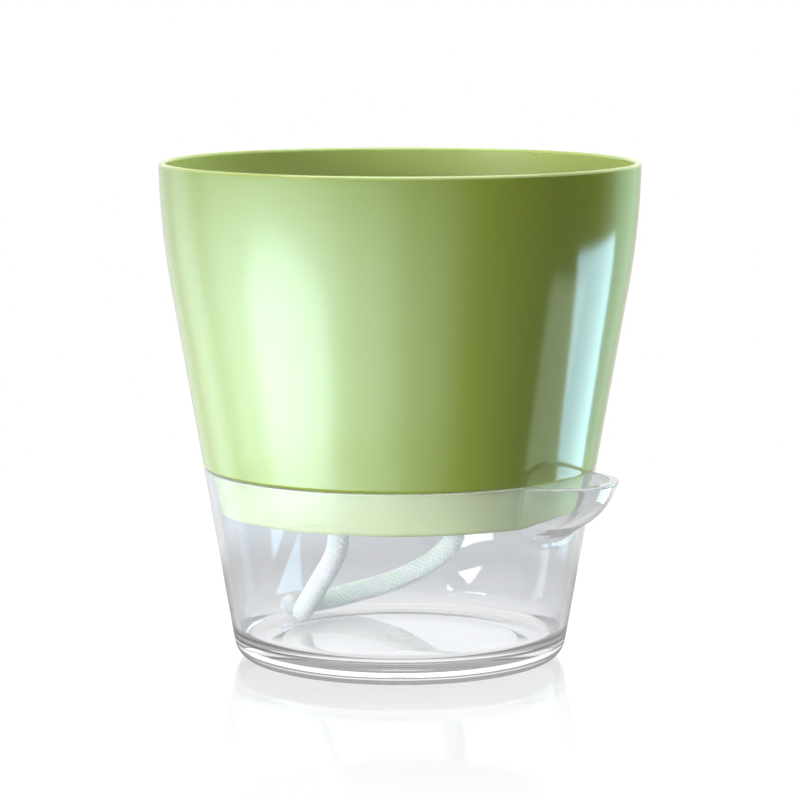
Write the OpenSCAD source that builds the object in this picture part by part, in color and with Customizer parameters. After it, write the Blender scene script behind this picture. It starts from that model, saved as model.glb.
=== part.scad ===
// Self-watering plant pot. A glossy planter stands with its stepped foot in a clear water
// reservoir that has a pouring spout, and a cotton wick climbs from the water into the soil
// through two holes in the planter's floor.
// The origin is the centre of the base on the table, +Z is up and +X runs through the spout.

/* [Planter] */
// Outer diameter at the top rim
rim_d = 140.4; // [130:0.2:160]
// Height of the planter above its seat on the reservoir
planter_h = 89.2; // [70:0.2:120]
// Height of the rounded stretch below the rim, where the wall turns upright
flare_h = 36; // [15:1:60]
// Lean of the wall at the rim, in degrees from upright
rim_lean = 1.2; // [0:0.1:4]
// Thickness of the planter's wall
planter_wall = 2; // [1.4:0.1:3]
// Thickness of the planter's floor
planter_floor = 2; // [1.4:0.1:4]
// Rounding of the planter's lower outer edge
edge_round = 1.2; // [0.4:0.1:1.8]
// Depth of the collar that drops into the reservoir
collar_h = 12.6; // [8:0.2:20]
// Rounding of the collar's lower edge, inside and outside
collar_round = 1.6; // [0.5:0.1:4]

/* [Reservoir] */
// Height of the reservoir's rim, which carries the planter
reservoir_h = 57; // [50:0.5:80]
// Outer diameter at the reservoir's rim
seat_d = 115.4; // [105:0.2:125]
// Outer diameter that the tapered wall would reach at the table
base_d = 96; // [86:0.2:110]
// Thickness of the clear wall
reservoir_wall = 2.2; // [1.6:0.1:3]
// Thickness of the reservoir's floor
reservoir_floor = 5.8; // [1.6:0.1:6]
// Height of the hollow underside
foot_h = 0.6; // [0.4:0.2:3]
// Width of the foot ring on the table
foot_w = 4; // [1.5:0.1:6]
// Outer rounding between the wall and the foot
base_round = 6.2; // [1:0.2:8]
// Inner rounding between the wall and the floor
floor_round = 5.4; // [1:0.2:8]
// Rounding of the rim's outer edge
lip_round = 0.5; // [0.2:0.1:0.8]
// Diameter of the moulding mark at the middle of the floor
mark_d = 7.5; // [3:0.5:12]
// Height of the moulding mark
mark_h = 1.8; // [0.3:0.1:2.5]

/* [Spout] */
// How far the spout's lip stands out from the reservoir's rim
spout_reach = 14.3; // [10:0.1:18]
// Outer radius of the spout's lip
spout_r = 19; // [15:0.5:24]
// Depth of the spout from the rim to its tapered point
spout_depth = 17.8; // [14:0.2:28]
// Outward swell of the spout's side
spout_swell = 3.3; // [0:0.1:4]

/* [Wick and drainage] */
// Diameter of the wick cord
wick_d = 6.2; // [4:0.1:8]
// Distance between the two wick holes
wick_pitch = 62; // [50:1:72]
// Diameter of the drain holes
drain_d = 4; // [2:0.5:6]
// Diameter of the circle that the drain holes lie on
drain_ring_d = 42; // [30:1:50]
// Number of drain holes
drain_count = 6; // [4:1:8]

/* [Fits] */
// Gap between the planter's collar and the reservoir's wall
collar_gap = 0.4; // [0.2:0.1:1]
// Gap between the wick and its hole
wick_gap = 0.3; // [0.2:0.1:1]

/* [Hidden] */
$fn = 96;

planter_green = "YellowGreen";
clear_plastic = [0.86, 0.88, 0.9, 0.45];
wick_white = "WhiteSmoke";

// Number of straight steps in each rounded stretch of a profile
arc_steps = 6;
flare_steps = 16;
spout_steps = 12;
wick_sides = 12;
// How far a cutter runs past the face that it opens
cut = 1;

seat_r = seat_d / 2;
base_r = base_d / 2;
rim_r = rim_d / 2;

// Heights
floor_z = foot_h + reservoir_floor;
collar_z = reservoir_h - collar_h;
soil_z = collar_z + planter_floor;
rim_z = reservoir_h + planter_h;
lip_r = planter_wall / 2;
wall_top_z = rim_z - lip_r * (1 + sin(rim_lean));

// The reservoir's wall is a plain cone
reservoir_lean = atan((seat_r - base_r) / reservoir_h);
function reservoir_out(z) = base_r + z * tan(reservoir_lean);
function reservoir_in(z) = reservoir_out(z) - reservoir_wall / cos(reservoir_lean);
// The collar runs parallel to it, inside
function collar_out(z) = reservoir_in(z) - collar_gap;
function collar_in(z) = collar_out(z) - planter_wall / cos(reservoir_lean);

// The planter's wall is a cone that runs on into an arc, which ends at the rim's lean.
// The cone's lean is the one that reaches the rim's radius.
straight_h = wall_top_z - reservoir_h - flare_h;
function wall_reach(lean) = straight_h * tan(lean) + flare_h * tan((lean + rim_lean) / 2);
function solved_lean(low, high, steps) =
    let (middle = (low + high) / 2)
    steps == 0 ? middle
    : wall_reach(middle) > rim_r - seat_r ? solved_lean(low, middle, steps - 1)
    : solved_lean(middle, high, steps - 1);
planter_lean = solved_lean(rim_lean + 0.1, 60, 40);
flare_r = flare_h / (sin(planter_lean) - sin(rim_lean));
flare_z = reservoir_h + straight_h;
function planter_out(z) = seat_r + (z - reservoir_h) * tan(planter_lean);
function planter_in(z) = planter_out(z) - planter_wall / cos(planter_lean);

// Points of an arc about a centre, between two directions
function arc(centre, r, from, to, steps) =
    [for (i = [0 : steps]) let (a = from + (to - from) * i / steps) centre + r * [cos(a), sin(a)]];

// Rounding between a level face at height z and a wall that leans outwards from [foot_r, z]
function foot_arc(foot_r, z, r, lean, from, to) =
    arc([foot_r - r * (1 - sin(lean)) / cos(lean), z + r], r, from, to, arc_steps);

// The flare at a depth below the planter's outer surface, from the cone up to the rim
function flare(depth) =
    arc([planter_out(flare_z) - flare_r * cos(planter_lean), flare_z + flare_r * sin(planter_lean)],
        flare_r - depth, -planter_lean, -rim_lean, flare_steps);

function reversed(points) = [for (i = [len(points) - 1 : -1 : 0]) points[i]];

planter_profile = concat(
    [[0, collar_z]],
    foot_arc(collar_out(collar_z), collar_z, collar_round, reservoir_lean, -90, -reservoir_lean),
    [[collar_out(reservoir_h), reservoir_h]],
    foot_arc(seat_r, reservoir_h, edge_round, planter_lean, -90, -planter_lean),
    flare(0),
    arc([rim_r, wall_top_z] - lip_r * [cos(rim_lean), -sin(rim_lean)], lip_r,
        -rim_lean, 180 - rim_lean, 2 * arc_steps),
    reversed(flare(planter_wall)),
    [[planter_in(reservoir_h + planter_wall), reservoir_h + planter_wall],
     [collar_in(reservoir_h + planter_wall), reservoir_h + planter_wall]],
    foot_arc(collar_in(soil_z), soil_z, collar_round, reservoir_lean, -reservoir_lean, -90),
    [[0, soil_z]]);

// Solid outside of the reservoir, and the space that is cut out of it
foot_r = base_r - base_round * (1 - sin(reservoir_lean)) / cos(reservoir_lean);
reservoir_outside = concat(
    [[0, foot_h], [foot_r - 2 * foot_w, foot_h], [foot_r - foot_w, 0]],
    foot_arc(base_r, 0, base_round, reservoir_lean, -90, -reservoir_lean),
    arc([reservoir_out(reservoir_h - lip_round) - lip_round, reservoir_h - lip_round], lip_round,
        0, 90, arc_steps),
    [[0, reservoir_h]]);
reservoir_inside = concat(
    [[0, floor_z + mark_h], [mark_d / 2, floor_z]],
    reversed(foot_arc(reservoir_in(floor_z), floor_z, floor_round, reservoir_lean,
        -reservoir_lean, -90)),
    [[reservoir_in(reservoir_h), reservoir_h],
     [reservoir_in(reservoir_h), reservoir_h + cut],
     [0, reservoir_h + cut]]);

// The spout is a swollen cone, point down, on an upright axis at spout_x
spout_x = seat_r + spout_reach - spout_r;
spout_slope = [spout_r, spout_depth];
spout_normal = [spout_depth, -spout_r] / norm(spout_slope);
function spout_side(depth) =
    [for (i = [0 : spout_steps])
        let (t = i / spout_steps)
        let (p = t * spout_slope + (4 * spout_swell * t * (1 - t) - depth) * spout_normal)
        [max(p.x, 0), p.y + reservoir_h - spout_depth]];

// Routes of the wick, measured from its hole at the middle of the floor's thickness.
// Half of the loop inside the planter, up from the hole and down to the middle of the floor
LOOP_HALF = [[0, 0, 0], [0, 0, 2.4], [0.5, 2, 7.2], [1.7, 6.6, 11.3], [2.9, 12.2, 13],
    [3.6, 17.6, 11.9], [3.3, 22.2, 9], [1.9, 26.6, 6.1]];
LOOP_MIDDLE = [0, 0, 4.6];
// The leg that slants across the water, away from the spout, down to the reservoir's floor
FRONT_LEG = [[0, 0, 0], [0, 0, -2.4], [-0.9, 1.1, -6], [-3.8, 4.2, -10.4], [-9.3, 8.9, -15.6],
    [-16.1, 14, -21.4], [-23, 18.9, -27.4], [-29.6, 23.4, -33.2], [-32.3, 25.4, -35.7]];
// The leg that follows the reservoir's wall and lies along the edge of its floor
REAR_LEG = [[0, 0, 0], [0, 0, -2.4], [-1.3, 1.9, -8], [-4.8, 5.4, -16.3], [-11.6, 5.8, -22.8],
    [-19.3, 3.1, -27.8], [-25.9, -0.9, -31.1], [-31.8, -5.6, -33.2], [-36.5, -11.2, -34.8],
    [-39.7, -17, -35.5], [-41.6, -23, -35.7], [-42.3, -28.4, -35.3], [-42.4, -31.2, -34.8]];

hole_z = collar_z + planter_floor / 2;
front_hole = [0, -wick_pitch / 2, hole_z];
rear_hole = [0, wick_pitch / 2, hole_z];
function from_hole(hole, route) = [for (p = route) hole + p];
function half_turned(route) = [for (p = route) [-p.x, -p.y, p.z]];

loop_route = concat(
    from_hole(front_hole, LOOP_HALF),
    [LOOP_MIDDLE + [0, 0, hole_z]],
    reversed(from_hole(rear_hole, half_turned(LOOP_HALF))));
front_route = from_hole(front_hole, FRONT_LEG);
rear_route = from_hole(rear_hole, REAR_LEG);

// A round cord along a route: one ring of points at each point of the route
function unit(v) = v / norm(v);
function headings(route) =
    let (last = len(route) - 1)
    [for (i = [0 : last]) unit(route[min(i + 1, last)] - route[max(i - 1, 0)])];
// A side direction that is carried along the headings without twist
function carried(headings, side, i = 0) =
    let (level = unit(side - (side * headings[i]) * headings[i]))
    i == len(headings) - 1 ? [level] : concat([level], carried(headings, level, i + 1));

module cord(route, diameter, sides) {
    ahead = headings(route);
    across = carried(ahead, [1, 0, 0]);
    last = len(route) - 1;
    points = [for (i = [0 : last]) for (k = [0 : sides - 1])
        let (a = 360 * k / sides)
        route[i] + diameter / 2 * (cos(a) * across[i] + sin(a) * cross(ahead[i], across[i]))];
    skin = [for (i = [0 : last - 1]) for (k = [0 : sides - 1])
        let (a = i * sides + k, b = i * sides + (k + 1) % sides)
        each [[a, a + sides, b], [b, a + sides, b + sides]]];
    start_cap = [for (k = [0 : sides - 1]) k];
    end_cap = [for (k = [sides - 1 : -1 : 0]) last * sides + k];
    polyhedron(points, concat(skin, [start_cap, end_cap]));
}

module planter() {
    color(planter_green)
    difference() {
        rotate_extrude() polygon(planter_profile);
        for (side = [-1, 1])
            translate([0, side * wick_pitch / 2, collar_z - cut])
                cylinder(d = wick_d + 2 * wick_gap, h = planter_floor + 2 * cut);
        for (i = [0 : drain_count - 1])
            rotate(360 * i / drain_count)
                translate([drain_ring_d / 2, 0, collar_z - cut])
                    cylinder(d = drain_d, h = planter_floor + 2 * cut);
    }
}

module reservoir() {
    color(clear_plastic)
    difference() {
        union() {
            rotate_extrude() polygon(reservoir_outside);
            translate([spout_x, 0, 0])
                rotate_extrude()
                    polygon(concat(spout_side(0), [[0, reservoir_h]]));
        }
        rotate_extrude() polygon(reservoir_inside);
        translate([spout_x, 0, 0])
            rotate_extrude()
                polygon(concat(spout_side(reservoir_wall),
                    [spout_side(reservoir_wall)[spout_steps] + spout_slope,
                     [0, reservoir_h + spout_depth]]));
    }
}

module wick_loop() {
    color(wick_white) cord(loop_route, wick_d, wick_sides);
}

module wick_front() {
    color(wick_white) cord(front_route, wick_d, wick_sides);
}

module wick_rear() {
    color(wick_white) cord(rear_route, wick_d, wick_sides);
}

planter();
reservoir();
wick_loop();
wick_front();
wick_rear();
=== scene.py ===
"""Self-watering pot: a glossy planter, a clear reservoir with a spout, and a cotton wick."""
import math

import bmesh
import bpy
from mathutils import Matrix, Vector


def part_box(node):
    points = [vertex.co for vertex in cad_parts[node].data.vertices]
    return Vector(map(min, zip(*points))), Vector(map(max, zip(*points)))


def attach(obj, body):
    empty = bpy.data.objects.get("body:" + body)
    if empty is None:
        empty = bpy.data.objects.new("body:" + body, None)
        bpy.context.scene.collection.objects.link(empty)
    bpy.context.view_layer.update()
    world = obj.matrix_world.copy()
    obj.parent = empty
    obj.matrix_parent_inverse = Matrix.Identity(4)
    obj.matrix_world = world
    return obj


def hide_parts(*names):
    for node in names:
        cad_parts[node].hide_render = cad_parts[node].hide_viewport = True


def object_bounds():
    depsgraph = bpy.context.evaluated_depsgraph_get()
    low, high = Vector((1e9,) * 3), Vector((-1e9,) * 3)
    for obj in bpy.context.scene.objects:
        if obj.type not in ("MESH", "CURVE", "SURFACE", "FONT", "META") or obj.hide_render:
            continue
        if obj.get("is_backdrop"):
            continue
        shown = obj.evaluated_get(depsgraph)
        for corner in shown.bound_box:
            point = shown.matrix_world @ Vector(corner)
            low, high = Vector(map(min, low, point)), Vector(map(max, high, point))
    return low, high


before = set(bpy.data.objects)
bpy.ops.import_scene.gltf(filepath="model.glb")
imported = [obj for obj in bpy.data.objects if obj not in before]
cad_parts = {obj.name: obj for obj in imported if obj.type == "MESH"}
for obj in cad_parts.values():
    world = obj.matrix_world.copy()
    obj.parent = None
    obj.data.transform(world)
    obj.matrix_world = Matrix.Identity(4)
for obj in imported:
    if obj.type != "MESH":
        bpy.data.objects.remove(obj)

bl_info = {
    "name": "Self-Watering Pot",
    "version": (1, 0, 0),
    "blender": (4, 5, 0),
    "location": "View3D > Sidebar > Pot",
    "description": "Dresses a self-watering pot: planter, reservoir, braided wick and studio",
    "category": "Object",
}

MM = 0.001
WHITE = (1, 1, 1, 1)
TURN = 2 * math.pi

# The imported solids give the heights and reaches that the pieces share
CAD_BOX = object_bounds()
PLANTER_LOW, PLANTER_HIGH = (Vector(corner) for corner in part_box("planter"))
_, RESERVOIR_HIGH = (Vector(corner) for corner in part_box("reservoir"))
SEAT_Z = RESERVOIR_HIGH.z
COLLAR_Z = PLANTER_LOW.z
RIM_Z = PLANTER_HIGH.z
RIM_R = PLANTER_HIGH.x
SPOUT_TIP = RESERVOIR_HIGH.x

# Routes of the wick in millimetres, measured from its hole at the middle of the floor's thickness
LOOP_HALF = [
    (0, 0, 0), (0, 0, 2.4), (0.5, 2, 7.2), (1.7, 6.6, 11.3), (2.9, 12.2, 13), (3.6, 17.6, 11.9),
    (3.3, 22.2, 9), (1.9, 26.6, 6.1),
]
LOOP_MIDDLE = (0, 0, 4.6)
FRONT_LEG = [
    (0, 0, 0), (0, 0, -2.4), (-0.9, 1.1, -6), (-3.8, 4.2, -10.4), (-9.3, 8.9, -15.6),
    (-16.1, 14, -21.4), (-23, 18.9, -27.4), (-29.6, 23.4, -33.2), (-32.3, 25.4, -35.7),
]
REAR_LEG = [
    (0, 0, 0), (0, 0, -2.4), (-1.3, 1.9, -8), (-4.8, 5.4, -16.3), (-11.6, 5.8, -22.8),
    (-19.3, 3.1, -27.8), (-25.9, -0.9, -31.1), (-31.8, -5.6, -33.2), (-36.5, -11.2, -34.8),
    (-39.7, -17, -35.5), (-41.6, -23, -35.7), (-42.3, -28.4, -35.3), (-42.4, -31.2, -34.8),
]

# The spout's keel: depth below the rim in millimetres, and the share of the reach that is left
SPOUT_KEEL = [
    (0, 1), (2, 0.955), (4, 0.916), (6, 0.86), (8, 0.783), (10, 0.675), (12, 0.531), (13, 0.434),
    (14, 0.322), (15, 0.21), (16, 0.119), (17, 0.056), (18, 0.018), (19, 0),
]

# The braid, and the fibres at the wick's free ends
YARN_WAVE = 0.26 * MM
YARN_STEP = 0.34 * MM
CORE_SHARE = 0.8
TUFT_FIBRES = 90
TUFT_MARGIN = 1.6 * MM
TUFT_DEPTH = 0.4 * MM
FIBRE_LENGTH = 1.3 * MM
FIBRE_R = 0.12 * MM
FIBRE_TIP_R = 0.03 * MM
FREE_END_ROUND = 2 * MM
CUT_END_ROUND = 0.01 * MM

# Rounding of the planter's inner step, and fineness of the turned and moulded skins
STEP_ROUND = 0.6 * MM
TURN_SEGMENTS = 192
HOLE_SEGMENTS = 40
PROFILE_STEP = 3 * MM
LONG_STRETCH = 2.5 * MM
STRETCH_HOLD = 0.2 * MM
MERGE_DISTANCE = 0.001 * MM
HALVINGS = 40

# Lit cards from the left round to the front: direction from the camera in degrees, and brightness
SIDE_CARDS = [(-130, 0.6), (-102, 2.9), (-74, 5.3), (-46, 2.9), (-18, 3.3), (8, 1.3)]
CARD_BLUE = (0.67, 0.87, 1)
# Cards: name, direction, distance, height, size, brightness, colour, fades, roll and lean
CARDS = [
    *(
        ("side_card", turn, 0.2, 0.03, (0.2, 0.4), radiance, CARD_BLUE, (1, 0.97), 0, 0)
        for turn, radiance in SIDE_CARDS
    ),
    ("gleam_card", -48, 0.178, 0.04, (0.214, 0.3), 4.6, CARD_BLUE, (1, 1), -6.5, 0),
    ("gleam_core", -51, 0.178, 0.038, (0.15, 0.154), 1.4, CARD_BLUE, (0.3,), 0, 0),
    ("rear_strip", 98, 0.161, 0.048, (0.097, 0.12), 4.8, (0.52, 0.8, 1), (0.12, 0.12), 10, 0.2),
    ("rear_panel", 77, 0.17, 0.03, (0.076, 0.12), 1.2, (0.8, 1, 0.85), (0.3, 0.3), 0, 0),
    ("edge_card", 120, 0.2, 0.05, (0.14, 0.3), 0.5, (0.25, 1, 0.6), (0.5, 0.5), 0, 0),
]


def length_prop(name, description, default):
    """A size in metres."""
    return bpy.props.FloatProperty(
        name=name, description=description, default=default, unit="LENGTH", precision=5
    )


def colour_prop(name, description, default):
    """A linear colour."""
    return bpy.props.FloatVectorProperty(
        name=name, description=description, default=default, subtype="COLOR", min=0, max=1
    )


def angle_prop(name, description, default):
    """An angle in radians."""
    return bpy.props.FloatProperty(
        name=name, description=description, default=default, subtype="ANGLE"
    )


def count_prop(name, description, default, least):
    """A number of things."""
    return bpy.props.IntProperty(name=name, description=description, default=default, min=least)


class PlanterSettings(bpy.types.PropertyGroup):
    """Sizes and colours of the planter."""

    seat_r: length_prop("Seat radius", "Outer radius at the planter's lower edge", 57.7 * MM)
    wall: length_prop("Wall", "Thickness of the wall", 2 * MM)
    floor: length_prop("Floor", "Thickness of the floor", 2 * MM)
    flare_h: length_prop("Flare", "Height of the rounded stretch below the rim", 36 * MM)
    rim_lean: angle_prop(
        "Rim lean", "Lean of the wall at the rim, from upright", math.radians(1.2)
    )
    edge_round: length_prop("Edge rounding", "Rounding of the lower outer edge", 1.2 * MM)
    collar_round: length_prop("Collar rounding", "Rounding of the collar's lower edge", 1.6 * MM)
    collar_gap: length_prop("Collar gap", "Gap between the collar and the reservoir", 0.4 * MM)
    drain_r: length_prop("Drain hole", "Radius of the drain holes", 2 * MM)
    drain_ring_r: length_prop("Drain ring", "Radius of the ring of drain holes", 21 * MM)
    drain_count: count_prop("Drain holes", "Number of drain holes", 6, 1)
    green: colour_prop("Green", "Colour of the glossy plastic", (0.37, 0.5, 0.07))
    # The collar's pale colour is painted light: the glow of light through the thin wall and a
    # reflected haze, put into its base colour
    pale: colour_prop(
        "Collar green", "Colour of the thin collar, where light shines through", (0.58, 0.67, 0.4)
    )
    inner: colour_prop("Inner", "Colour of the satin inside", (0.4, 0.48, 0.14))


class ReservoirSettings(bpy.types.PropertyGroup):
    """Sizes and tint of the clear reservoir."""

    base_r: length_prop(
        "Base radius", "Radius that the tapered wall would reach at the table", 48 * MM
    )
    wall: length_prop("Wall", "Thickness of the clear wall", 2.2 * MM)
    floor: length_prop("Floor", "Thickness of the floor", 5.8 * MM)
    foot_h: length_prop("Foot height", "Height of the hollow underside", 0.6 * MM)
    foot_w: length_prop("Foot width", "Width of the ring that stands on the table", 4 * MM)
    base_round: length_prop("Base rounding", "Outer rounding between wall and foot", 6.2 * MM)
    floor_round: length_prop("Floor rounding", "Inner rounding between wall and floor", 5.4 * MM)
    lip_round: length_prop("Lip rounding", "Rounding of the rim's edges", 0.5 * MM)
    mark_r: length_prop("Mark radius", "Radius of the moulding mark in the floor", 3.75 * MM)
    mark_h: length_prop("Mark height", "Height of the moulding mark", 1.8 * MM)
    spout_half: angle_prop(
        "Spout half angle", "Direction in which the spout leaves the wall, from the spout's middle",
        math.radians(19.3),
    )
    spout_blend: length_prop(
        "Spout blend", "Width of the blend between spout and wall at the rim", 1.8 * MM
    )
    spout_lip: length_prop("Spout lip", "Extra thickness of the spout's lip", 0.9 * MM)
    # The wall tint is the plastic's own grey with painted shade on top; the nearly clear floor tint
    # paints in light from the table below
    tint: colour_prop("Wall tint", "What the clear wall lets through", (0.86, 0.87, 0.89))
    floor_tint_and_painted_light: colour_prop("Floor tint", "What the clear floor lets through", (0.99, 0.99, 0.99))


class WickSettings(bpy.types.PropertyGroup):
    """Sizes and colour of the braided wick."""

    diameter: length_prop("Diameter", "Diameter of the cord", 6.2 * MM)
    pitch: length_prop("Hole distance", "Distance between the two wick holes", 62 * MM)
    hole_gap: length_prop("Hole gap", "Gap between the wick and its hole", 0.3 * MM)
    yarns: count_prop("Yarns", "Yarns in each direction of the braid", 10, 3)
    yarn_r: length_prop("Yarn", "Radius of one yarn", 0.6 * MM)
    crest: length_prop("Crest", "Height of the yarns above the cord's plain round", 0.15 * MM)
    lay: length_prop("Lay", "Length of cord in which a yarn goes round once", 17 * MM)
    white: colour_prop("White", "Colour of the cotton", (1.0, 0.95, 0.95))


class StageSettings(bpy.types.PropertyGroup):
    """The camera and the studio."""

    camera_turn: angle_prop(
        "Camera turn", "Direction of the camera about the pot, from the side", math.radians(34.3)
    )
    camera_distance: length_prop("Camera distance", "Level distance of the camera", 0.99972)
    camera_height: length_prop("Camera height", "Height of the camera", 0.207705)
    camera_pitch: angle_prop("Camera pitch", "Angle by which the camera looks down", 0.131)
    camera_lens: bpy.props.FloatProperty(
        name="Camera lens", description="Focal length on a 36 mm sensor, in millimetres",
        default=154.468,
    )


# Meshes, node trees and materials


def new_mesh_object(name, mesh):
    """An object at the origin that holds a mesh."""
    piece = bpy.data.objects.new(name, mesh)
    bpy.context.scene.collection.objects.link(piece)
    return piece


def line_mesh(name, points):
    """An open line of points, as a mesh of edges."""
    mesh = bpy.data.meshes.new(name)
    mesh.from_pydata(points, [(i, i + 1) for i in range(len(points) - 1)], [])
    return mesh


class Tree:
    """A node tree with short ways to add and join nodes."""

    PREFIX = "ShaderNode"

    def __init__(self, tree):
        self.tree = tree
        self.nodes = tree.nodes
        self.links = tree.links

    def add(self, kind, settings=None, **inputs):
        """Adds a node, sets its settings, and joins or sets its inputs by name or number. The
        tree's own prefix may be left off the node's kind."""
        node = self.nodes.new(kind if "Node" in kind else self.PREFIX + kind)
        for key, value in (settings or {}).items():
            setattr(node, key, value)
        for key, value in inputs.items():
            self.put(self.socket(node, key), value)
        return node

    def socket(self, node, key):
        """An input socket by its number, as i0, or by its name with _ for a space."""
        if key[0] == "i" and key[1:].isdigit():
            return node.inputs[int(key[1:])]
        return next(s for s in node.inputs if s.enabled and s.name == key.replace("_", " "))

    def put(self, socket, value):
        """Joins an output to a socket, or sets the socket's value."""
        if isinstance(value, bpy.types.Node):
            value = next(s for s in value.outputs if s.enabled)
        if isinstance(value, bpy.types.NodeSocket):
            self.links.new(value, socket)
        else:
            socket.default_value = value

    def math(self, operation, *values, kind="ShaderNodeMath"):
        """A Math node's result."""
        node = self.add(kind, {"operation": operation})
        for socket, value in zip(node.inputs, values):
            self.put(socket, value)
        return node.outputs[0]

    def times(self, first, second):
        """The product of two values."""
        return self.math("MULTIPLY", first, second)

    def plus(self, first, second):
        """The sum of two values."""
        return self.math("ADD", first, second)

    def minus(self, first, second):
        """The first value less the second."""
        return self.math("SUBTRACT", first, second)

    def vector(self, operation, *values):
        """A Vector Math node's vector result."""
        return self.math(operation, *values, kind="ShaderNodeVectorMath")

    def scaled(self, vector, factor):
        """A vector times a number."""
        node = self.add("ShaderNodeVectorMath", {"operation": "SCALE"}, i0=vector)
        self.put(node.inputs["Scale"], factor)
        return node.outputs[0]

    def ramp(self, value, low, high, to_low=0.0, to_high=1.0):
        """A value carried from one range to another, and held at its ends."""
        node = self.add(
            "ShaderNodeMapRange", Value=value,
            From_Min=low, From_Max=high, To_Min=to_low, To_Max=to_high,
        )
        return node.outputs[0]


class GeometryTree(Tree):
    """A geometry tree with named inputs, which ends in one geometry."""

    PREFIX = "GeometryNode"
    KINDS = {
        float: "NodeSocketFloat",
        int: "NodeSocketInt",
        bpy.types.Material: "NodeSocketMaterial",
    }

    def __init__(self, name, **inputs):
        super().__init__(bpy.data.node_groups.new(name, "GeometryNodeTree"))
        face = self.tree.interface
        for side in ("INPUT", "OUTPUT"):
            face.new_socket(name="Geometry", in_out=side, socket_type="NodeSocketGeometry")
        self.values = {}
        for key, value in inputs.items():
            socket = face.new_socket(
                name=key.replace("_", " "), in_out="INPUT", socket_type=self.KINDS[type(value)]
            )
            self.values[socket.identifier] = value
        self.group = self.nodes.new("NodeGroupInput")

    def __getitem__(self, key):
        """A named input of the tree."""
        return self.group.outputs[key.replace("_", " ")]

    def finish(self, geometry):
        """Ends the tree in smooth faces with its material."""
        whole = self.add("RealizeInstances", Geometry=geometry)
        smooth = self.add("SetShadeSmooth", i0=whole)
        finished = self.add("SetMaterial", i0=smooth, Material=self["Material"])
        self.add("NodeGroupOutput", i0=finished)

    def run(self, name, source, sharp_angle):
        """Runs the tree on a source mesh, and gives a plain mesh object."""
        piece = new_mesh_object(name, source)
        modifier = piece.modifiers.new(self.tree.name, "NODES")
        modifier.node_group = self.tree
        for identifier, value in self.values.items():
            modifier[identifier] = value
        ready = piece.evaluated_get(bpy.context.evaluated_depsgraph_get())
        mesh = bpy.data.meshes.new_from_object(ready)
        if not mesh.polygons:
            raise RuntimeError(f"{name} came out empty")
        piece.modifiers.clear()
        piece.data = mesh
        mesh.name = name
        mesh.set_sharp_from_angle(angle=sharp_angle)
        bpy.data.meshes.remove(source)
        return piece


class Material(Tree):
    """A material with one Principled shader."""

    def __init__(self, name, **values):
        self.material = bpy.data.materials.new(name)
        self.material.use_nodes = True
        super().__init__(self.material.node_tree)
        self.shader = self.nodes["Principled BSDF"]
        self.set(**values)

    def set(self, **values):
        """Joins or sets the shader's inputs by name, with _ for a space."""
        for key, value in values.items():
            self.put(self.shader.inputs[key.replace("_", " ")], value)

    def end_in(self, surface):
        """Ends the material in a shader node."""
        self.put(self.nodes["Material Output"].inputs["Surface"], surface)

    def object_place(self):
        """Object coordinates."""
        return self.add("TexCoord").outputs["Object"]

    def noise(self, scale, detail=2.0, place=None):
        """A noise value over the object."""
        place = place or self.object_place()
        return self.add("TexNoise", Scale=scale, Detail=detail, Vector=place).outputs["Fac"]

    def mix_colours(self, factor, first, second):
        """One colour blended into another."""
        node = self.add("Mix", {"data_type": "RGBA"}, i0=factor, i6=first, i7=second)
        return node.outputs[2]

    def bump(self, height, strength, distance):
        """Joins a height to the shader's normal."""
        node = self.add("Bump", Strength=strength, Distance=distance, Height=height)
        self.set(Normal=node.outputs[0])


def solid(colour):
    """A colour with full alpha."""
    return (*colour, 1)


def planter_plastic(sizes):
    """Glossy moulded plastic, satin inside and on the collar. The collar's paler colour is painted
    light: it stands in for the light that shines through the thin wall and the haze reflected on it
    from the clear wall around it."""
    look = Material("planter_plastic", IOR=1.5)
    place = look.object_place()
    height = look.add("SeparateXYZ", Vector=place).outputs["Z"]
    collar = look.ramp(height, SEAT_Z, SEAT_Z - 0.4 * MM)
    cloud = look.ramp(look.noise(14, 3, place), 0.35, 0.65, 0.0, 0.5)
    darker = [channel * 0.93 for channel in sizes.green]
    green = look.mix_colours(cloud, solid(sizes.green), solid(darker))
    inside = look.add("Attribute", {"attribute_name": "inside"}).outputs["Fac"]
    green = look.mix_colours(inside, green, solid(sizes.inner))
    grain = look.noise(900, 2, place)
    shine = look.ramp(grain, 0.3, 0.7, 0.1, 0.15)
    satin = look.ramp(grain, 0.3, 0.7, 0.36, 0.46)
    dull = look.math("MAXIMUM", inside, collar)
    look.set(
        # The collar gets the pale colour: painted light from the thin wall's glow and the reflected
        # haze
        Base_Color=look.mix_colours(collar, green, solid(sizes.pale)),
        Roughness=look.add("Mix", i0=dull, i2=shine, i3=satin).outputs[0],
        Specular_IOR_Level=look.ramp(collar, 0.0, 1.0, 1.0, 0.2),
    )
    look.bump(look.noise(220, 2, place), 0.04, 0.2 * MM)
    return look.material


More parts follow.
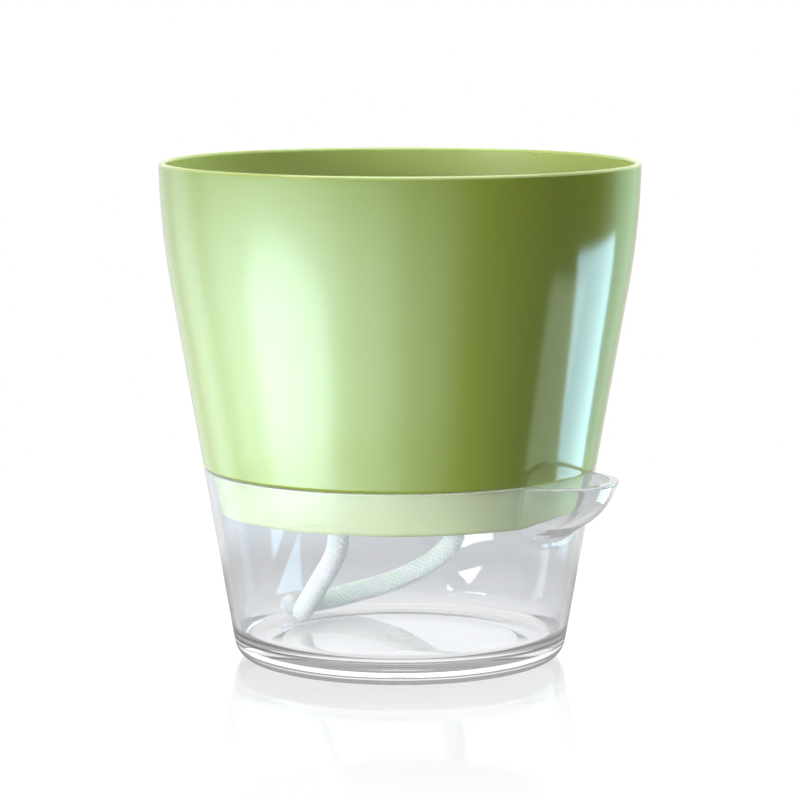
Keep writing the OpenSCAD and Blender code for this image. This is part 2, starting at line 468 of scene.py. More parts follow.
def clear_plastic(sizes):
    """Clear moulded plastic that lets the lamps reach what is inside."""
    look = Material("clear_plastic", Transmission_Weight=1.0, IOR=1.56)
    place = look.object_place()
    height = look.add("SeparateXYZ", Vector=place).outputs["Z"]
    floor_z = sizes.foot_h + sizes.floor
    # Tint by height: darker on the walls as painted shade, nearly clear on the floor as painted
    # light from the table below
    wall = look.ramp(height, floor_z, floor_z + sizes.floor_round)
    look.set(
        Base_Color=look.mix_colours(wall, solid(sizes.floor_tint_and_painted_light), solid(sizes.tint)),
        Roughness=look.ramp(look.noise(60, 2, place), 0.3, 0.7, 0.0, 0.02),
    )
    look.bump(look.noise(45, 1, place), 0.015, 0.4 * MM)
    passing = look.add("BsdfTransparent", Color=WHITE)
    # Light that keeps turning inside the plastic is replaced by a painted plain grey glow
    painted_grey_glow = look.add("Emission", Color=(0.45, 0.45, 0.46, 1))
    path = look.add("LightPath").outputs
    lost = look.math("GREATER_THAN", path["Glossy Depth"], 2.5)
    inner = look.add("MixShader", i0=lost, i1=look.shader, i2=painted_grey_glow)
    surface = look.add("MixShader", i0=path["Is Shadow Ray"], i1=inner, i2=passing)
    look.end_in(surface)
    return look.material


def frosted_plastic():
    """The same plastic where the moulding mark scatters the light."""
    look = Material("frosted_plastic", IOR=1.5, Transmission_Weight=0.25)
    grain = look.noise(1500, 2)
    lighter, darker = (0.93, 0.94, 0.95, 1), (0.86, 0.87, 0.88, 1)
    look.set(
        Base_Color=look.mix_colours(look.ramp(grain, 0.35, 0.65), lighter, darker),
        Roughness=look.ramp(grain, 0.3, 0.7, 0.4, 0.6),
    )
    return look.material


def wick_cotton(sizes):
    """Soft white cotton yarn with fine fibres along it."""
    look = Material(
        "wick_cotton", Roughness=0.9, Sheen_Weight=0.3, Sheen_Roughness=0.6,
        Subsurface_Weight=0.35, Subsurface_Scale=1 * MM, Specular_IOR_Level=0.2,
    )
    place = look.object_place()
    speckle = look.ramp(look.noise(900, 3, place), 0.35, 0.7)
    darker = [channel * 0.94 for channel in sizes.white]
    look.set(Base_Color=look.mix_colours(speckle, solid(sizes.white), solid(darker)))
    look.bump(look.noise(2600, 3, place), 0.35, 0.15 * MM)
    return look.material


# The wick


def smooth_route(points, steps):
    """A smooth curve through the points, with a number of steps between each two."""
    route = []
    last = len(points) - 1
    for i in range(last):
        before, start, end, after = (points[min(max(k, 0), last)] for k in range(i - 1, i + 3))
        for step in range(steps):
            t = step / steps
            route.append(
                0.5 * (
                    2 * start
                    + (end - before) * t
                    + (2 * before - 5 * start + 4 * end - after) * t * t
                    + (3 * start - before - 3 * end + after) * t * t * t
                )
            )
    return [*route, points[-1]]


def route_length(route):
    """Length of a line of points."""
    return sum((b - a).length for a, b in zip(route, route[1:]))


def braid_tree(sizes, material, bare):
    """Yarns that cross over and under each other round a core, along the source line. A bare end
    closes to a round tip with a tuft of fibres."""
    cord_r = sizes.diameter / 2 + sizes.crest
    tree = GeometryTree(
        "Braided cord",
        Yarns=sizes.yarns,
        Middle_Radius=cord_r - sizes.yarn_r - YARN_WAVE,
        Wave=YARN_WAVE,
        Yarn_Radius=sizes.yarn_r,
        Lay=sizes.lay,
        Step=YARN_STEP,
        Tuft=TUFT_FIBRES if bare else 0,
        Fibre_Length=FIBRE_LENGTH,
        End_Round=FREE_END_ROUND if bare else CUT_END_ROUND,
        Material=material,
    )
    line = tree.add("MeshToCurve", i0=tree.group.outputs["Geometry"])
    curve = tree.add("CurveSplineType", {"spline_type": "CATMULL_ROM"}, Curve=line)
    path = tree.add("ResampleCurve", {"mode": "LENGTH"}, Curve=curve, Length=tree["Step"])

    each_way = tree["Yarns"]
    amount = tree.times(each_way, 2.0)
    copies = tree.add("DuplicateElements", {"domain": "SPLINE"}, Geometry=path, Amount=amount)
    number = copies.outputs["Duplicate Index"]
    way = tree.minus(tree.times(tree.math("LESS_THAN", number, each_way), 2.0), 1.0)
    along = tree.add("SplineParameter").outputs["Length"]
    turn = tree.math("DIVIDE", tree.times(along, TURN), tree["Lay"])
    first = tree.math("DIVIDE", tree.times(number, TURN), each_way)
    angle = tree.plus(tree.times(turn, way), first)
    weave = tree.math("COSINE", tree.times(turn, each_way))
    lift = tree.times(tree.times(weave, way), tree["Wave"])
    total = tree.add("SplineLength").outputs["Length"]
    left = tree.math("DIVIDE", tree.minus(total, along), tree["End_Round"])
    open_share = tree.minus(1.0, tree.math("MINIMUM", left, 1.0))
    closing = tree.math("SQRT", tree.minus(1.0, tree.times(open_share, open_share)))
    radius = tree.times(tree.plus(tree["Middle_Radius"], lift), closing)
    normal = tree.add("InputNormal").outputs[0]
    tangent = tree.add("InputTangent").outputs[0]
    side = tree.vector("CROSS_PRODUCT", tangent, normal)
    outward = tree.vector(
        "ADD",
        tree.scaled(normal, tree.math("COSINE", angle)),
        tree.scaled(side, tree.math("SINE", angle)),
    )
    moved = tree.add("SetPosition", Geometry=copies, Offset=tree.scaled(outward, radius))
    thread = tree.add("CurvePrimitiveCircle", Resolution=6, Radius=tree["Yarn_Radius"])
    yarns = tree.add("CurveToMesh", Curve=moved, Profile_Curve=thread, Fill_Caps=True)

    yarn_share = tree.times(tree["Yarn_Radius"], CORE_SHARE)
    core_r = tree.plus(tree["Middle_Radius"], yarn_share)
    core_line = tree.add("CurvePrimitiveCircle", Resolution=16, Radius=core_r)
    whole = tree.add("CurveLength", Curve=path)
    end = tree.minus(whole, tree["End_Round"])
    core_path = tree.add("TrimCurve", {"mode": "LENGTH"}, Curve=path, Start=0.0, End=end)
    core = tree.add("CurveToMesh", Curve=core_path, Profile_Curve=core_line, Fill_Caps=True)

    tip = tree.add("CurveEndpointSelection", i0=0, i1=1)
    spin = tree.add("FunctionNodeRandomValue", Min=0.0, Max=TURN, Seed=3)
    reach = tree.add("FunctionNodeRandomValue", Min=0.0, Max=1.0, Seed=5)
    spread = tree.times(tree.math("SQRT", reach.outputs[1]), cord_r - TUFT_MARGIN)
    place = tree.add(
        "ShaderNodeCombineXYZ",
        X=tree.times(tree.math("COSINE", spin.outputs[1]), spread),
        Y=tree.times(tree.math("SINE", spin.outputs[1]), spread),
        Z=-TUFT_DEPTH,
    )
    scattered = tree.add("Points", Count=tree["Tuft"], Position=place)
    fibre = tree.add(
        "MeshCone", Vertices=4, Side_Segments=2, Radius_Top=FIBRE_TIP_R, Radius_Bottom=FIBRE_R,
        Depth=tree["Fibre_Length"],
    )
    tilt = tree.add(
        "FunctionNodeRandomValue", {"data_type": "FLOAT_VECTOR"},
        Min=(-0.45, -0.45, 0), Max=(0.45, 0.45, TURN), Seed=8,
    )
    stretch = tree.add("FunctionNodeRandomValue", Min=0.4, Max=1.0, Seed=11)
    fibres = tree.add(
        "InstanceOnPoints", Points=scattered, Instance=fibre,
        Rotation=tilt.outputs[0], Scale=stretch.outputs[1],
    )
    tuft = tree.add("RealizeInstances", Geometry=fibres)
    facing = tree.add("FunctionNodeAlignRotationToVector", {"axis": "Z"}, Vector=tangent)
    ends = tree.add("InstanceOnPoints", Points=path, Selection=tip, Instance=tuft, Rotation=facing)
    joined = tree.add("JoinGeometry")
    for part in (yarns, core, ends):
        tree.put(joined.inputs[0], part)
    tree.finish(joined)
    return tree


class POT_OT_wick(bpy.types.Operator):
    """Lay the braided wick: the loop in the planter and the two legs in the reservoir"""

    bl_idname = "pot.wick"
    bl_label = "Wick"

    def execute(self, context):
        sizes = context.scene.pot_wick
        hole_z = COLLAR_Z + context.scene.pot_planter.floor / 2
        front_hole = Vector((0, -sizes.pitch / 2, hole_z))
        rear_hole = Vector((0, sizes.pitch / 2, hole_z))
        front_half = [front_hole + Vector(p) * MM for p in LOOP_HALF]
        rear_half = [rear_hole + Vector((-x, -y, z)) * MM for x, y, z in LOOP_HALF]
        middle = Vector((0, 0, hole_z)) + Vector(LOOP_MIDDLE) * MM
        stretches = {
            "wick_loop": ([*front_half, middle, *reversed(rear_half)], "object"),
            "wick_front": ([front_hole + Vector(p) * MM for p in FRONT_LEG], "bare"),
            "wick_rear": ([rear_hole + Vector(p) * MM for p in REAR_LEG], "bare"),
        }
        cotton = wick_cotton(sizes)
        for node, (points, far_end) in stretches.items():
            route = smooth_route(points, 4)
            tree = braid_tree(sizes, cotton, far_end == "bare")
            piece = tree.run(f"{node}_braid", line_mesh(node, route), sharp_angle=math.radians(60))
            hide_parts(node)
            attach(piece, "planter")
            tuple(route[0])
            route_length(route)
            [tuple(p) for p in route]
        return {"FINISHED"}


# The planter


def arc(centre, radius, start, end, steps):
    """Points of an arc in a profile, between two directions."""
    points = []
    for i in range(steps + 1):
        a = start + (end - start) * i / steps
        points.append((centre[0] + radius * math.cos(a), centre[1] + radius * math.sin(a)))
    return points


def foot_arc(foot_r, z, radius, lean, steps):
    """Rounding between a level face at z and a wall that leans outwards from (foot_r, z)."""
    centre = (foot_r - radius * (1 - math.sin(lean)) / math.cos(lean), z + radius)
    return arc(centre, radius, -math.pi / 2, -lean, steps)


def between(start, end, share):
    """A point on the line between two points of a profile."""
    return tuple(a + (b - a) * share for a, b in zip(start, end))


def dense(points, longest):
    """A profile with its long straight stretches divided, and held flat by points close to their
    ends."""
    out = [points[0]]
    for start, end in zip(points, points[1:]):
        length = math.dist(start, end)
        ends = [start, end]
        if length > LONG_STRETCH:
            near = STRETCH_HOLD / length
            ends[1:1] = [between(start, end, share) for share in (near, 1 - near)]
        for a, b in zip(ends, ends[1:]):
            steps = max(1, math.ceil(math.dist(a, b) / longest))
            out += [between(a, b, i / steps) for i in range(1, steps)] + [b]
    return out


def reservoir_lean(reservoir, planter):
    """Lean of the reservoir's wall, from upright."""
    return math.atan((planter.seat_r - reservoir.base_r) / SEAT_Z)


def solved_lean(straight_h, flare_h, rim_lean, reach):
    """Lean of the planter's straight wall that brings the rim to its radius."""
    low, high = rim_lean, math.radians(60)
    for _ in range(HALVINGS):
        lean = (low + high) / 2
        if straight_h * math.tan(lean) + flare_h * math.tan((lean + rim_lean) / 2) > reach:
            high = lean
        else:
            low = lean
    return lean


def planter_profile(sizes, reservoir):
    """Outline of the planter from the middle of its underside to the middle of its floor, and the
    number of points on its outside."""
    slant = reservoir_lean(reservoir, sizes)

    def collar_out(z):
        wall = reservoir.wall / math.cos(slant)
        return reservoir.base_r + z * math.tan(slant) - wall - sizes.collar_gap

    def collar_in(z):
        return collar_out(z) - sizes.wall / math.cos(slant)

    lip_r = sizes.wall / 2
    top_z = RIM_Z - lip_r * (1 + math.sin(sizes.rim_lean))
    straight_h = top_z - SEAT_Z - sizes.flare_h
    lean = solved_lean(straight_h, sizes.flare_h, sizes.rim_lean, RIM_R - sizes.seat_r)
    flare_r = sizes.flare_h / (math.sin(lean) - math.sin(sizes.rim_lean))
    flare_z = SEAT_Z + straight_h
    flare_centre = (
        sizes.seat_r + straight_h * math.tan(lean) - flare_r * math.cos(lean),
        flare_z + flare_r * math.sin(lean),
    )

    def flare(depth):
        return arc(flare_centre, flare_r - depth, -lean, -sizes.rim_lean, 24)

    lip_centre = (
        RIM_R - lip_r * math.cos(sizes.rim_lean), top_z + lip_r * math.sin(sizes.rim_lean)
    )
    soil_z = COLLAR_Z + sizes.floor
    step_z = SEAT_Z + sizes.wall
    wall_in = sizes.seat_r + sizes.wall * math.tan(lean) - sizes.wall / math.cos(lean)
    lip = arc(lip_centre, lip_r, -sizes.rim_lean, math.pi - sizes.rim_lean, 14)
    upper_bend = (wall_in - STEP_ROUND, step_z + STEP_ROUND)
    lower_bend = (collar_in(step_z) - STEP_ROUND, step_z - STEP_ROUND)
    outside = [
        (0, COLLAR_Z),
        *foot_arc(collar_out(COLLAR_Z), COLLAR_Z, sizes.collar_round, slant, 8),
        (collar_out(SEAT_Z), SEAT_Z),
        *foot_arc(sizes.seat_r, SEAT_Z, sizes.edge_round, lean, 8),
        *flare(0),
        *lip,
    ]
    inside = [
        *reversed(flare(sizes.wall)),
        *arc(upper_bend, STEP_ROUND, -lean, -math.pi / 2, 5),
        *arc(lower_bend, STEP_ROUND, math.pi / 2, -slant, 5),
        *reversed(foot_arc(collar_in(soil_z), soil_z, sizes.collar_round, slant, 8)),
        (0, soil_z),
    ]
    outside = dense(outside, PROFILE_STEP)
    return outside + dense([outside[-1], *inside], PROFILE_STEP)[1:], len(outside)


def turned_tree(material, outer_count, planter, wick):
    """Turns the source line about the upright axis and drills the floor's holes."""
    tree = GeometryTree(
        "Turned planter",
        Segments=TURN_SEGMENTS,
        Outer_Points=outer_count,
        Drain_Count=planter.drain_count,
        Drain_Radius=planter.drain_r,
        Drain_Ring=planter.drain_ring_r,
        Wick_Hole_Radius=wick.diameter / 2 + wick.hole_gap,
        Wick_Pitch=wick.pitch,
        Floor_Middle=COLLAR_Z + planter.floor / 2,
        Hole_Depth=3 * planter.floor,
        Material=material,
    )
    source = tree.group.outputs["Geometry"]
    count = tree.add("AttributeDomainSize", Geometry=source)
    rows = count.outputs["Point Count"]
    columns = tree.plus(tree["Segments"], 1.0)
    grid = tree.add("MeshGrid", Size_X=1.0, Size_Y=1.0, Vertices_X=columns, Vertices_Y=rows)
    position = tree.add("InputPosition")
    place = tree.add("ShaderNodeSeparateXYZ", Vector=position).outputs
    turn = tree.times(tree.plus(place["X"], 0.5), TURN)
    row = tree.math("ROUND", tree.times(tree.plus(place["Y"], 0.5), tree.minus(rows, 1.0)))
    inside = tree.math("GREATER_THAN", row, tree.minus(tree["Outer_Points"], 0.5))
    marked = tree.add("StoreNamedAttribute", Geometry=grid, Name="inside", Value=inside)
    sample = tree.add(
        "SampleIndex", {"data_type": "FLOAT_VECTOR"}, Geometry=source, Index=row, Value=position
    )
    outline = tree.add("ShaderNodeSeparateXYZ", Vector=sample).outputs
    turned = tree.add(
        "ShaderNodeCombineXYZ",
        X=tree.times(outline["X"], tree.math("COSINE", turn)),
        Y=tree.times(outline["X"], tree.math("SINE", turn)),
        Z=outline["Z"],
    )
    shell = tree.add("SetPosition", Geometry=marked, Position=turned)
    closed = tree.add("MergeByDistance", Geometry=shell, Distance=MERGE_DISTANCE)

    drains = tree["Drain_Count"]
    ring = tree.add("MeshCircle", Vertices=drains, Radius=tree["Drain_Ring"])
    first = tree.add("ShaderNodeCombineXYZ", Y=tree.times(tree["Wick_Pitch"], -0.5))
    pitch = tree.add("ShaderNodeCombineXYZ", Y=tree["Wick_Pitch"])
    pair = tree.add("MeshLine", Count=2, Start_Location=first, Offset=pitch)
    drills = tree.add("JoinGeometry")
    for points, radius in ((ring, "Drain_Radius"), (pair, "Wick_Hole_Radius")):
        drill = tree.add(
            "MeshCylinder", Vertices=HOLE_SEGMENTS,
            Radius=tree[radius], Depth=tree["Hole_Depth"],
        )
        holes = tree.add("InstanceOnPoints", Points=points, Instance=drill)
        tree.put(drills.inputs[0], holes)
    lift = tree.add("ShaderNodeCombineXYZ", Z=tree["Floor_Middle"])
    lifted = tree.add("Transform", Geometry=drills, Translation=lift)
    cutters = tree.add("RealizeInstances", Geometry=lifted)
    drilled = tree.add("MeshBoolean", {"operation": "DIFFERENCE"}, Mesh_1=closed, Mesh_2=cutters)
    tree.finish(drilled)
    return tree


class POT_OT_planter(bpy.types.Operator):
    """Turn the glossy planter and drill its floor"""

    bl_idname = "pot.planter"
    bl_label = "Planter"

    def execute(self, context):
        scene = context.scene
        outline, outer_count = planter_profile(scene.pot_planter, scene.pot_reservoir)
        tree = turned_tree(
            planter_plastic(scene.pot_planter), outer_count, scene.pot_planter, scene.pot_wick
        )
        source = line_mesh("planter_outline", [(r, 0, z) for r, z in outline])
        piece = tree.run("planter_shell", source, sharp_angle=math.radians(40))
        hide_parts("planter")
        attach(piece, "planter")
        return {"FINISHED"}


# The reservoir


class ReservoirForm:
    """The tapered wall and the spout that grows out of it, as one skin."""

    SPOUT_ZONE = math.radians(34)
    SPOUT_NARROWS = 9 * MM
    SPOUT_ENDS = 17.6 * MM
    SPOUT_STEP = math.radians(0.5)
    WALL_STEP = math.radians(2)
    LIP_HEIGHT = 9 * MM
    LEAST_BLEND = 0.2
    BLEND_OF_REACH = 0.8
    ROW_STEP = 1.6 * MM
    FLOOR_STEP = 6 * MM

    def __init__(self, sizes, planter):
        self.sizes = sizes
        self.lean = reservoir_lean(sizes, planter)
        self.reach = SPOUT_TIP - self.wall_r(SEAT_Z)
        self.keel = smooth_route([Vector(point) for point in SPOUT_KEEL], 4)
        self.sections = {}

    def wall_r(self, z):
        """Outer radius of the plain wall."""
        return self.sizes.base_r + z * math.tan(self.lean)

    def keel_share(self, z):
        """Share of the spout's reach that is left at a height."""
        depth = max((SEAT_Z - z) / MM, 0)
        for upper, lower in zip(self.keel, self.keel[1:]):
            if depth < lower.x:
                return upper.y + (lower.y - upper.y) * (depth - upper.x) / (lower.x - upper.x)
        return 0.0

    def spout_half(self, z):
        """Direction in which the spout leaves the wall at a height."""
        narrow = (SEAT_Z - z - self.SPOUT_NARROWS) / (self.SPOUT_ENDS - self.SPOUT_NARROWS)
        narrow = min(max(narrow, 0), 0.99)
        return self.sizes.spout_half * math.sqrt(1 - narrow * narrow)

    def spout_section(self, z):
        """Middle and radius of the spout's round section at a height."""
        if z not in self.sections:
            wall = self.wall_r(z)
            tip = wall + self.keel_share(z) * self.reach
            half = wall * math.sin(self.spout_half(z))
            rise = tip - wall * math.cos(self.spout_half(z))
            radius = (half * half + rise * rise) / (2 * rise)
            self.sections[z] = tip - radius, radius
        return self.sections[z]

    def gap(self, r, angle, z, share):
        """Distance outside the surface: wall and spout blended into each other."""
        wall = (r - self.wall_r(z)) * math.cos(self.lean)
        x, y = r * math.cos(angle), r * math.sin(angle)
        step = 0.1 * MM
        here, below = (
            math.hypot(x - middle, y) - radius
            for middle, radius in (self.spout_section(z), self.spout_section(z - step))
        )
        spout = here / math.hypot(1, (here - below) / step)
        fade = max(1 - (SEAT_Z - z) / self.SPOUT_NARROWS, self.LEAST_BLEND)
        blend = min(self.sizes.spout_blend * fade, self.BLEND_OF_REACH * share * self.reach)
        overlap = max(blend - abs(wall - spout), 0) / blend
        return min(wall, spout) - overlap * overlap * blend / 4

    def radius(self, angle, z, depth):
        """Radius at a depth below the outer surface."""
        low = self.wall_r(z) - depth / math.cos(self.lean)
        share = self.keel_share(z)
        if abs(angle) > self.SPOUT_ZONE or share <= 0:
            return low
        high = SPOUT_TIP + self.sizes.wall
        for _ in range(HALVINGS):
            r = (low + high) / 2
            if self.gap(r, angle, z, share) < -depth:
                low = r
            else:
                high = r
        return low

    def lip_extra(self, angle, z):
        """Extra thickness of the spout's wall near its lip."""
        aside = min(abs(angle) / self.sizes.spout_half, 1)
        rise = max(1 - (SEAT_Z - z) / self.LIP_HEIGHT, 0)
        return self.sizes.spout_lip * (1 - aside * aside) * rise * rise

    def angles(self):
        """Directions of the mesh's columns, closer together at the spout."""
        count = round(2 * self.SPOUT_ZONE / self.SPOUT_STEP)
        spout = [-self.SPOUT_ZONE + 2 * self.SPOUT_ZONE * i / count for i in range(count + 1)]
        rest = TURN - 2 * self.SPOUT_ZONE
        count = round(rest / self.WALL_STEP)
        return spout + [self.SPOUT_ZONE + rest * i / count for i in range(1, count)]

    def rows(self):
        """Rows of the skin from the middle of the underside to the middle of the floor. A row has
        its radius by direction and its height."""
        s = self.sizes
        floor_z = s.foot_h + s.floor
        foot = foot_arc(s.base_r, 0, s.base_round, self.lean, 10)
        foot_in = foot[0][0] - s.foot_w
        hollow = [(0, s.foot_h), (foot_in - s.foot_w, s.foot_h), (foot_in, 0)]
        under = dense([*hollow, *foot], self.FLOOR_STEP)
        bowl_r = self.wall_r(floor_z) - s.wall / math.cos(self.lean)
        bowl = foot_arc(bowl_r, floor_z, s.floor_round, self.lean, 12)
        mark = [
            (s.mark_r * away, floor_z + s.mark_h * up)
            for away, up in ((1, 0), (0.55, 0.36), (0.2, 0.86), (0.1, 0.96), (0, 1))
        ]
        inner = dense([*reversed(bowl), *mark], self.FLOOR_STEP)
        lip_z = SEAT_Z - s.lip_round
        outer_wall = dense([(0, foot[-1][1]), (0, lip_z)], self.ROW_STEP)[1:]
        lip = [
            (s.lip_round * (1 - math.cos(a)), lip_z + s.lip_round * math.sin(a))
            for a in (math.pi / 2 * i / 5 for i in range(1, 6))
        ]
        inner_wall = dense([(s.wall, lip_z), (s.wall, bowl[-1][1])], self.ROW_STEP)[:-1]
        inner_lip = [(s.wall - depth, z) for depth, z in reversed(lip)]

        def inner_r(angle, z, depth):
            return self.radius(angle, z, depth + self.lip_extra(angle, z))

        for r, z in under:
            yield (lambda angle, r=r: r), z
        for depth, z in [*outer_wall, *lip]:
            yield (lambda angle, depth=depth, z=z: self.radius(angle, z, depth)), z
        for depth, z in [*inner_lip, *inner_wall]:
            yield (lambda angle, depth=depth, z=z: inner_r(angle, z, depth)), z
        for r, z in inner:
            yield (lambda angle, r=r: r), z

    def mesh(self, name):
        """The closed skin."""
        angles = self.angles()
        shape = bmesh.new()
        rings = []
        for radius, z in self.rows():
            rings.append(
                [
                    shape.verts.new((r * math.cos(a), r * math.sin(a), z))
                    for a in angles
                    for r in [radius(a if a <= math.pi else a - TURN)]
                ]
            )
        for lower, upper in zip(rings, rings[1:]):
            for i in range(len(angles)):
                k = (i + 1) % len(angles)
                shape.faces.new((lower[i], lower[k], upper[k], upper[i]))
        bmesh.ops.remove_doubles(shape, verts=shape.verts, dist=MERGE_DISTANCE)
        if shape.calc_volume(signed=True) < 0:
            bmesh.ops.reverse_faces(shape, faces=shape.faces)
        for face in shape.faces:
            face.smooth = True
            middle = face.calc_center_median()
            above = middle.z > self.sizes.foot_h + self.sizes.floor
            face.material_index = int(above and middle.xy.length < self.sizes.mark_r)
        mesh = bpy.data.meshes.new(name)
        shape.to_mesh(mesh)
        shape.free()
        mesh.set_sharp_from_angle(angle=math.radians(50))
        return mesh


class POT_OT_reservoir(bpy.types.Operator):
    """Mould the clear reservoir with its spout"""

    bl_idname = "pot.reservoir"
    bl_label = "Reservoir"

    def execute(self, context):
        scene = context.scene
        form = ReservoirForm(scene.pot_reservoir, scene.pot_planter)
        piece = new_mesh_object("reservoir_shell", form.mesh("reservoir_shell"))
        piece.data.materials.append(clear_plastic(scene.pot_reservoir))
        piece.data.materials.append(frosted_plastic())
        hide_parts("reservoir")
        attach(piece, "reservoir")
        return {"FINISHED"}


# The stage


def looked_through(tree, path):
    """1 for a ray that the camera sends through the clear plastic, and less for the light that
    reaches what is inside."""
    inside = tree.math("GREATER_THAN", path["Diffuse Depth"], 0.5)
    share = tree.minus(1.0, tree.times(inside, 0.3))
    return tree.times(path["Is Transmission Ray"], share)


def white_floor():
    """A white glossy table that keeps the pot's shadow and mirrors its foot."""
    look = Material("table", Base_Color=(0.95, 0.95, 0.95, 1), Roughness=0.4, IOR=1.4)
    path = look.add("LightPath").outputs
    place = look.object_place()
    away = look.add("VectorMath", {"operation": "LENGTH"}, i0=place).outputs["Value"]
    mirror_share = look.ramp(away, 0.045, 0.2, 0.32, 0.0)
    white_share = look.ramp(away, 0.1, 0.4, 0.88, 1.0)
    white = look.add("Emission", Color=WHITE, Strength=1.0)
    mirror = look.add("BsdfGlossy", Color=WHITE, Roughness=0.06)
    pale = look.add("MixShader", i0=white_share, i1=look.shader, i2=white)
    polished = look.add("MixShader", i0=mirror_share, i1=pale, i2=mirror)
    # Painted shade: the table seen through the clear plastic glows full white near the pot and
    # dimmer further out
    glow = look.ramp(away, 0.06, 0.16, 1.0, 0.77)
    through = look.add("Emission", Color=WHITE, Strength=glow)
    bounce = look.add("BsdfDiffuse", Color=(0.26, 0.25, 0.23, 1))
    gleam = look.times(path["Is Glossy Ray"], look.ramp(away, 0.125, 0.165, 0.0, 0.8))
    bounce = look.add("MixShader", i0=gleam, i1=bounce, i2=mirror)
    surface = look.add("MixShader", i0=path["Is Camera Ray"], i1=bounce, i2=polished)
    surface = look.add("MixShader", i0=looked_through(look, path), i1=surface, i2=through)
    look.end_in(surface)
    return look.material


def studio_world(settings):
    """Pale studio air: white where it is seen and behind the pot, softer where it lights it."""
    world = bpy.data.worlds.new("studio")
    world.use_nodes = True
    tree = Tree(world.node_tree)
    tree.nodes.clear()
    path = tree.add("LightPath").outputs
    behind = Vector(round_the_camera(settings, 180, 1, 0))
    toward = tree.add("TexCoord").outputs["Generated"]
    facing = tree.add("VectorMath", {"operation": "DOT_PRODUCT"}, i0=toward, i1=behind)
    rear = tree.ramp(facing.outputs["Value"], 0.3, 0.7)
    height = tree.add("SeparateXYZ", Vector=toward).outputs["Z"]
    above = tree.ramp(height, 0.05, 0.2)
    once = tree.math("LESS_THAN", path["Glossy Depth"], 1.5)
    sky = tree.times(tree.times(above, once), path["Is Glossy Ray"])
    mirrored = tree.math("MAXIMUM", tree.times(path["Is Glossy Ray"], rear), sky)
    direct = tree.math("MAXIMUM", path["Is Camera Ray"], path["Is Transmission Ray"])
    seen = tree.math("MAXIMUM", direct, mirrored)
    bright = tree.plus(1.0, tree.times(sky, 0.5))
    white = tree.add("Background", Color=WHITE, Strength=bright)
    level = tree.ramp(height, 0.0, 1.0, 0.02, 0.3)
    soft = tree.add("Background", Color=(1, 0.97, 0.88, 1), Strength=level)
    mixed = tree.add("MixShader", i0=seen, i1=soft, i2=white)
    tree.add("OutputWorld", Surface=mixed)
    return world


def lamp(name, place, target, size, power, colour):
    """A soft rectangular lamp that faces a point."""
    data = bpy.data.lights.new(name, "AREA")
    data.shape = "RECTANGLE"
    data.size, data.size_y = size
    data.energy = power
    data.color = colour
    light = bpy.data.objects.new(name, data)
    light.location = place
    light.rotation_euler = (Vector(target) - Vector(place)).to_track_quat("-Z", "Y").to_euler()
    light.visible_camera = False
    bpy.context.scene.collection.objects.link(light)
    return light


def card(name, place, size, radiance, colour, fades, roll, lean):
    """A lit card beside the pot, fading out at its sides and ends, that shows only as a gleam. One
    fade makes it an oval, and a lean slants its sides."""
    power = radiance * math.pi * size[0] * size[1]
    light = lamp(name, place, (0, 0, place[2]), size, power, colour)
    light.rotation_euler.rotate_axis("Z", math.radians(roll))
    light.visible_diffuse = False
    light.data.use_nodes = True
    tree = Tree(light.data.node_tree)
    face = tree.add("NewGeometry").outputs["Parametric"]
    face = tree.add("SeparateXYZ", Vector=face).outputs
    across, along = (tree.times(tree.minus(face[axis], 0.5), 2.0) for axis in "XY")
    across = tree.plus(across, tree.times(along, lean))
    asides = [tree.times(across, 1 + lean), along]
    if len(fades) == 1:
        squares = [tree.times(aside, aside) for aside in asides]
        asides = [tree.math("SQRT", tree.plus(*squares))]
    glow = 1.0
    for aside, edge in zip(asides, fades):
        aside = tree.math("ABSOLUTE", aside)
        fade = tree.add(
            "MapRange", {"interpolation_type": "SMOOTHSTEP"},
            Value=aside, From_Min=1.0 - edge, From_Max=1.0, To_Min=1.0, To_Max=0.0,
        )
        glow = tree.times(fade.outputs[0], glow)
    tree.put(tree.nodes["Emission"].inputs["Strength"], glow)
    return light


def round_the_camera(settings, turn, distance, height):
    """A place about the pot, turned from the camera's direction to its right."""
    a = settings.camera_turn + math.radians(turn)
    return (distance * math.sin(a), -distance * math.cos(a), height)


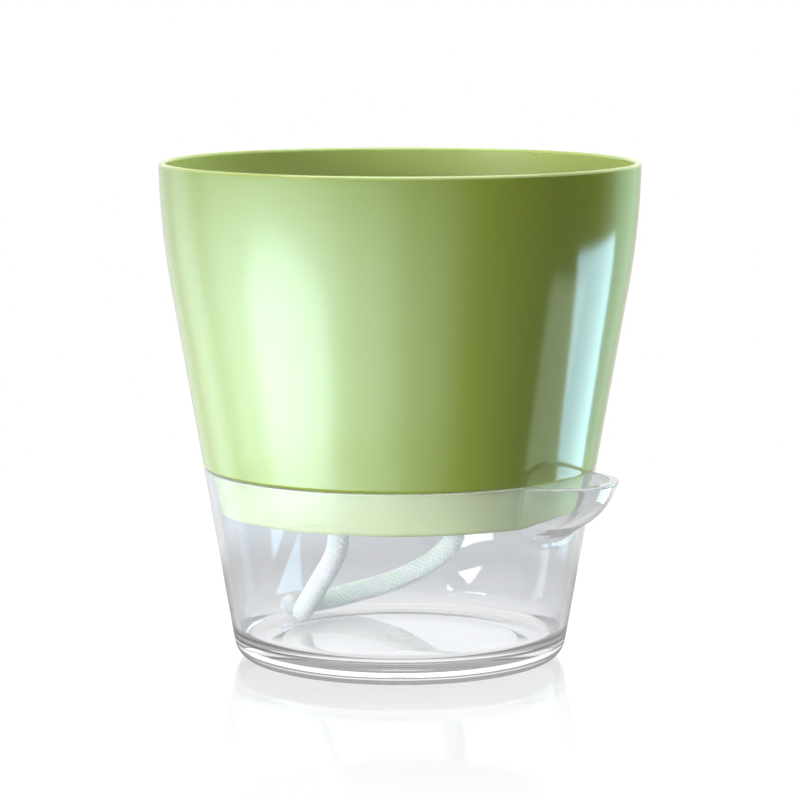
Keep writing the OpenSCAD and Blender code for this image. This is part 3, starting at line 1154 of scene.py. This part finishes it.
class POT_OT_stage(bpy.types.Operator):
    """Set up the table, the studio lamps and the camera"""

    bl_idname = "pot.stage"
    bl_label = "Stage"

    def execute(self, context):
        scene = context.scene
        settings = scene.pot_stage
        scene.view_settings.view_transform = "Standard"
        scene.world = studio_world(settings)

        half = 4.0
        corners = [(-half, -half, 0), (half, -half, 0), (half, half, 0), (-half, half, 0)]
        mesh = bpy.data.meshes.new("table")
        mesh.from_pydata(corners, [], [(0, 1, 2, 3)])
        mesh.materials.append(white_floor())
        new_mesh_object("table", mesh)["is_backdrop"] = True

        middle = (0, 0, RIM_Z / 2)
        key_place = round_the_camera(settings, -52, 1.0, 0.2)
        key = lamp("key", key_place, (0, 0, 0), (0.6, 0.12), 0.66, (1, 0.98, 0.98))
        key.data.spread = math.radians(36)
        key.visible_glossy = False
        edge_place = round_the_camera(settings, 135, 1.0, 0.5)
        edge = lamp("edge", edge_place, middle, (0.5, 0.5), 10, (0.88, 1, 0.95))
        edge.visible_glossy = edge.visible_transmission = False
        lamp("top", (0, 0.05, 1.2), middle, (1.2, 1.2), 13.5, (1, 1, 1))
        for name, turn, distance, height, *looks in CARDS:
            light = card(name, round_the_camera(settings, turn, distance, height), *looks)
            light.visible_transmission = name == "rear_strip"

        camera = bpy.data.objects.new("camera", bpy.data.cameras.new("camera"))
        camera.data.lens = settings.camera_lens
        camera.data.sensor_width = 36
        place = 0, settings.camera_distance, settings.camera_height
        camera.location = round_the_camera(settings, *place)
        camera.rotation_euler = (math.pi / 2 - settings.camera_pitch, 0, settings.camera_turn)
        scene.collection.objects.link(camera)
        scene.camera = camera
        return {"FINISHED"}


class POT_PT_panel(bpy.types.Panel):
    """The pot's pieces and their sizes"""

    bl_idname = "POT_PT_panel"
    bl_label = "Self-Watering Pot"
    bl_space_type = "VIEW_3D"
    bl_region_type = "UI"
    bl_category = "Pot"

    def draw(self, context):
        for operator, group, _ in PIECES:
            box = self.layout.box()
            box.operator(operator.bl_idname)
            settings = getattr(context.scene, group)
            for key in settings.__annotations__:
                box.prop(settings, key)


PIECES = [
    (POT_OT_stage, "pot_stage", StageSettings),
    (POT_OT_wick, "pot_wick", WickSettings),
    (POT_OT_planter, "pot_planter", PlanterSettings),
    (POT_OT_reservoir, "pot_reservoir", ReservoirSettings),
]
CLASSES = [cls for operator, _, settings in PIECES for cls in (settings, operator)]
CLASSES.append(POT_PT_panel)


def register():
    for cls in CLASSES:
        bpy.utils.register_class(cls)
    for _, name, settings in PIECES:
        setattr(bpy.types.Scene, name, bpy.props.PointerProperty(type=settings))


def unregister():
    for _, name, _ in PIECES:
        delattr(bpy.types.Scene, name)
    for cls in reversed(CLASSES):
        bpy.utils.unregister_class(cls)


def main():
    register()
    bpy.ops.pot.stage()
    bpy.ops.pot.wick()
    bpy.ops.pot.planter()
    bpy.ops.pot.reservoir()
    boxes = {"cad": CAD_BOX, "visual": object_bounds()}
    {key: [list(corner) for corner in box] for key, box in boxes.items()}


if __name__ == "__main__":
    main()
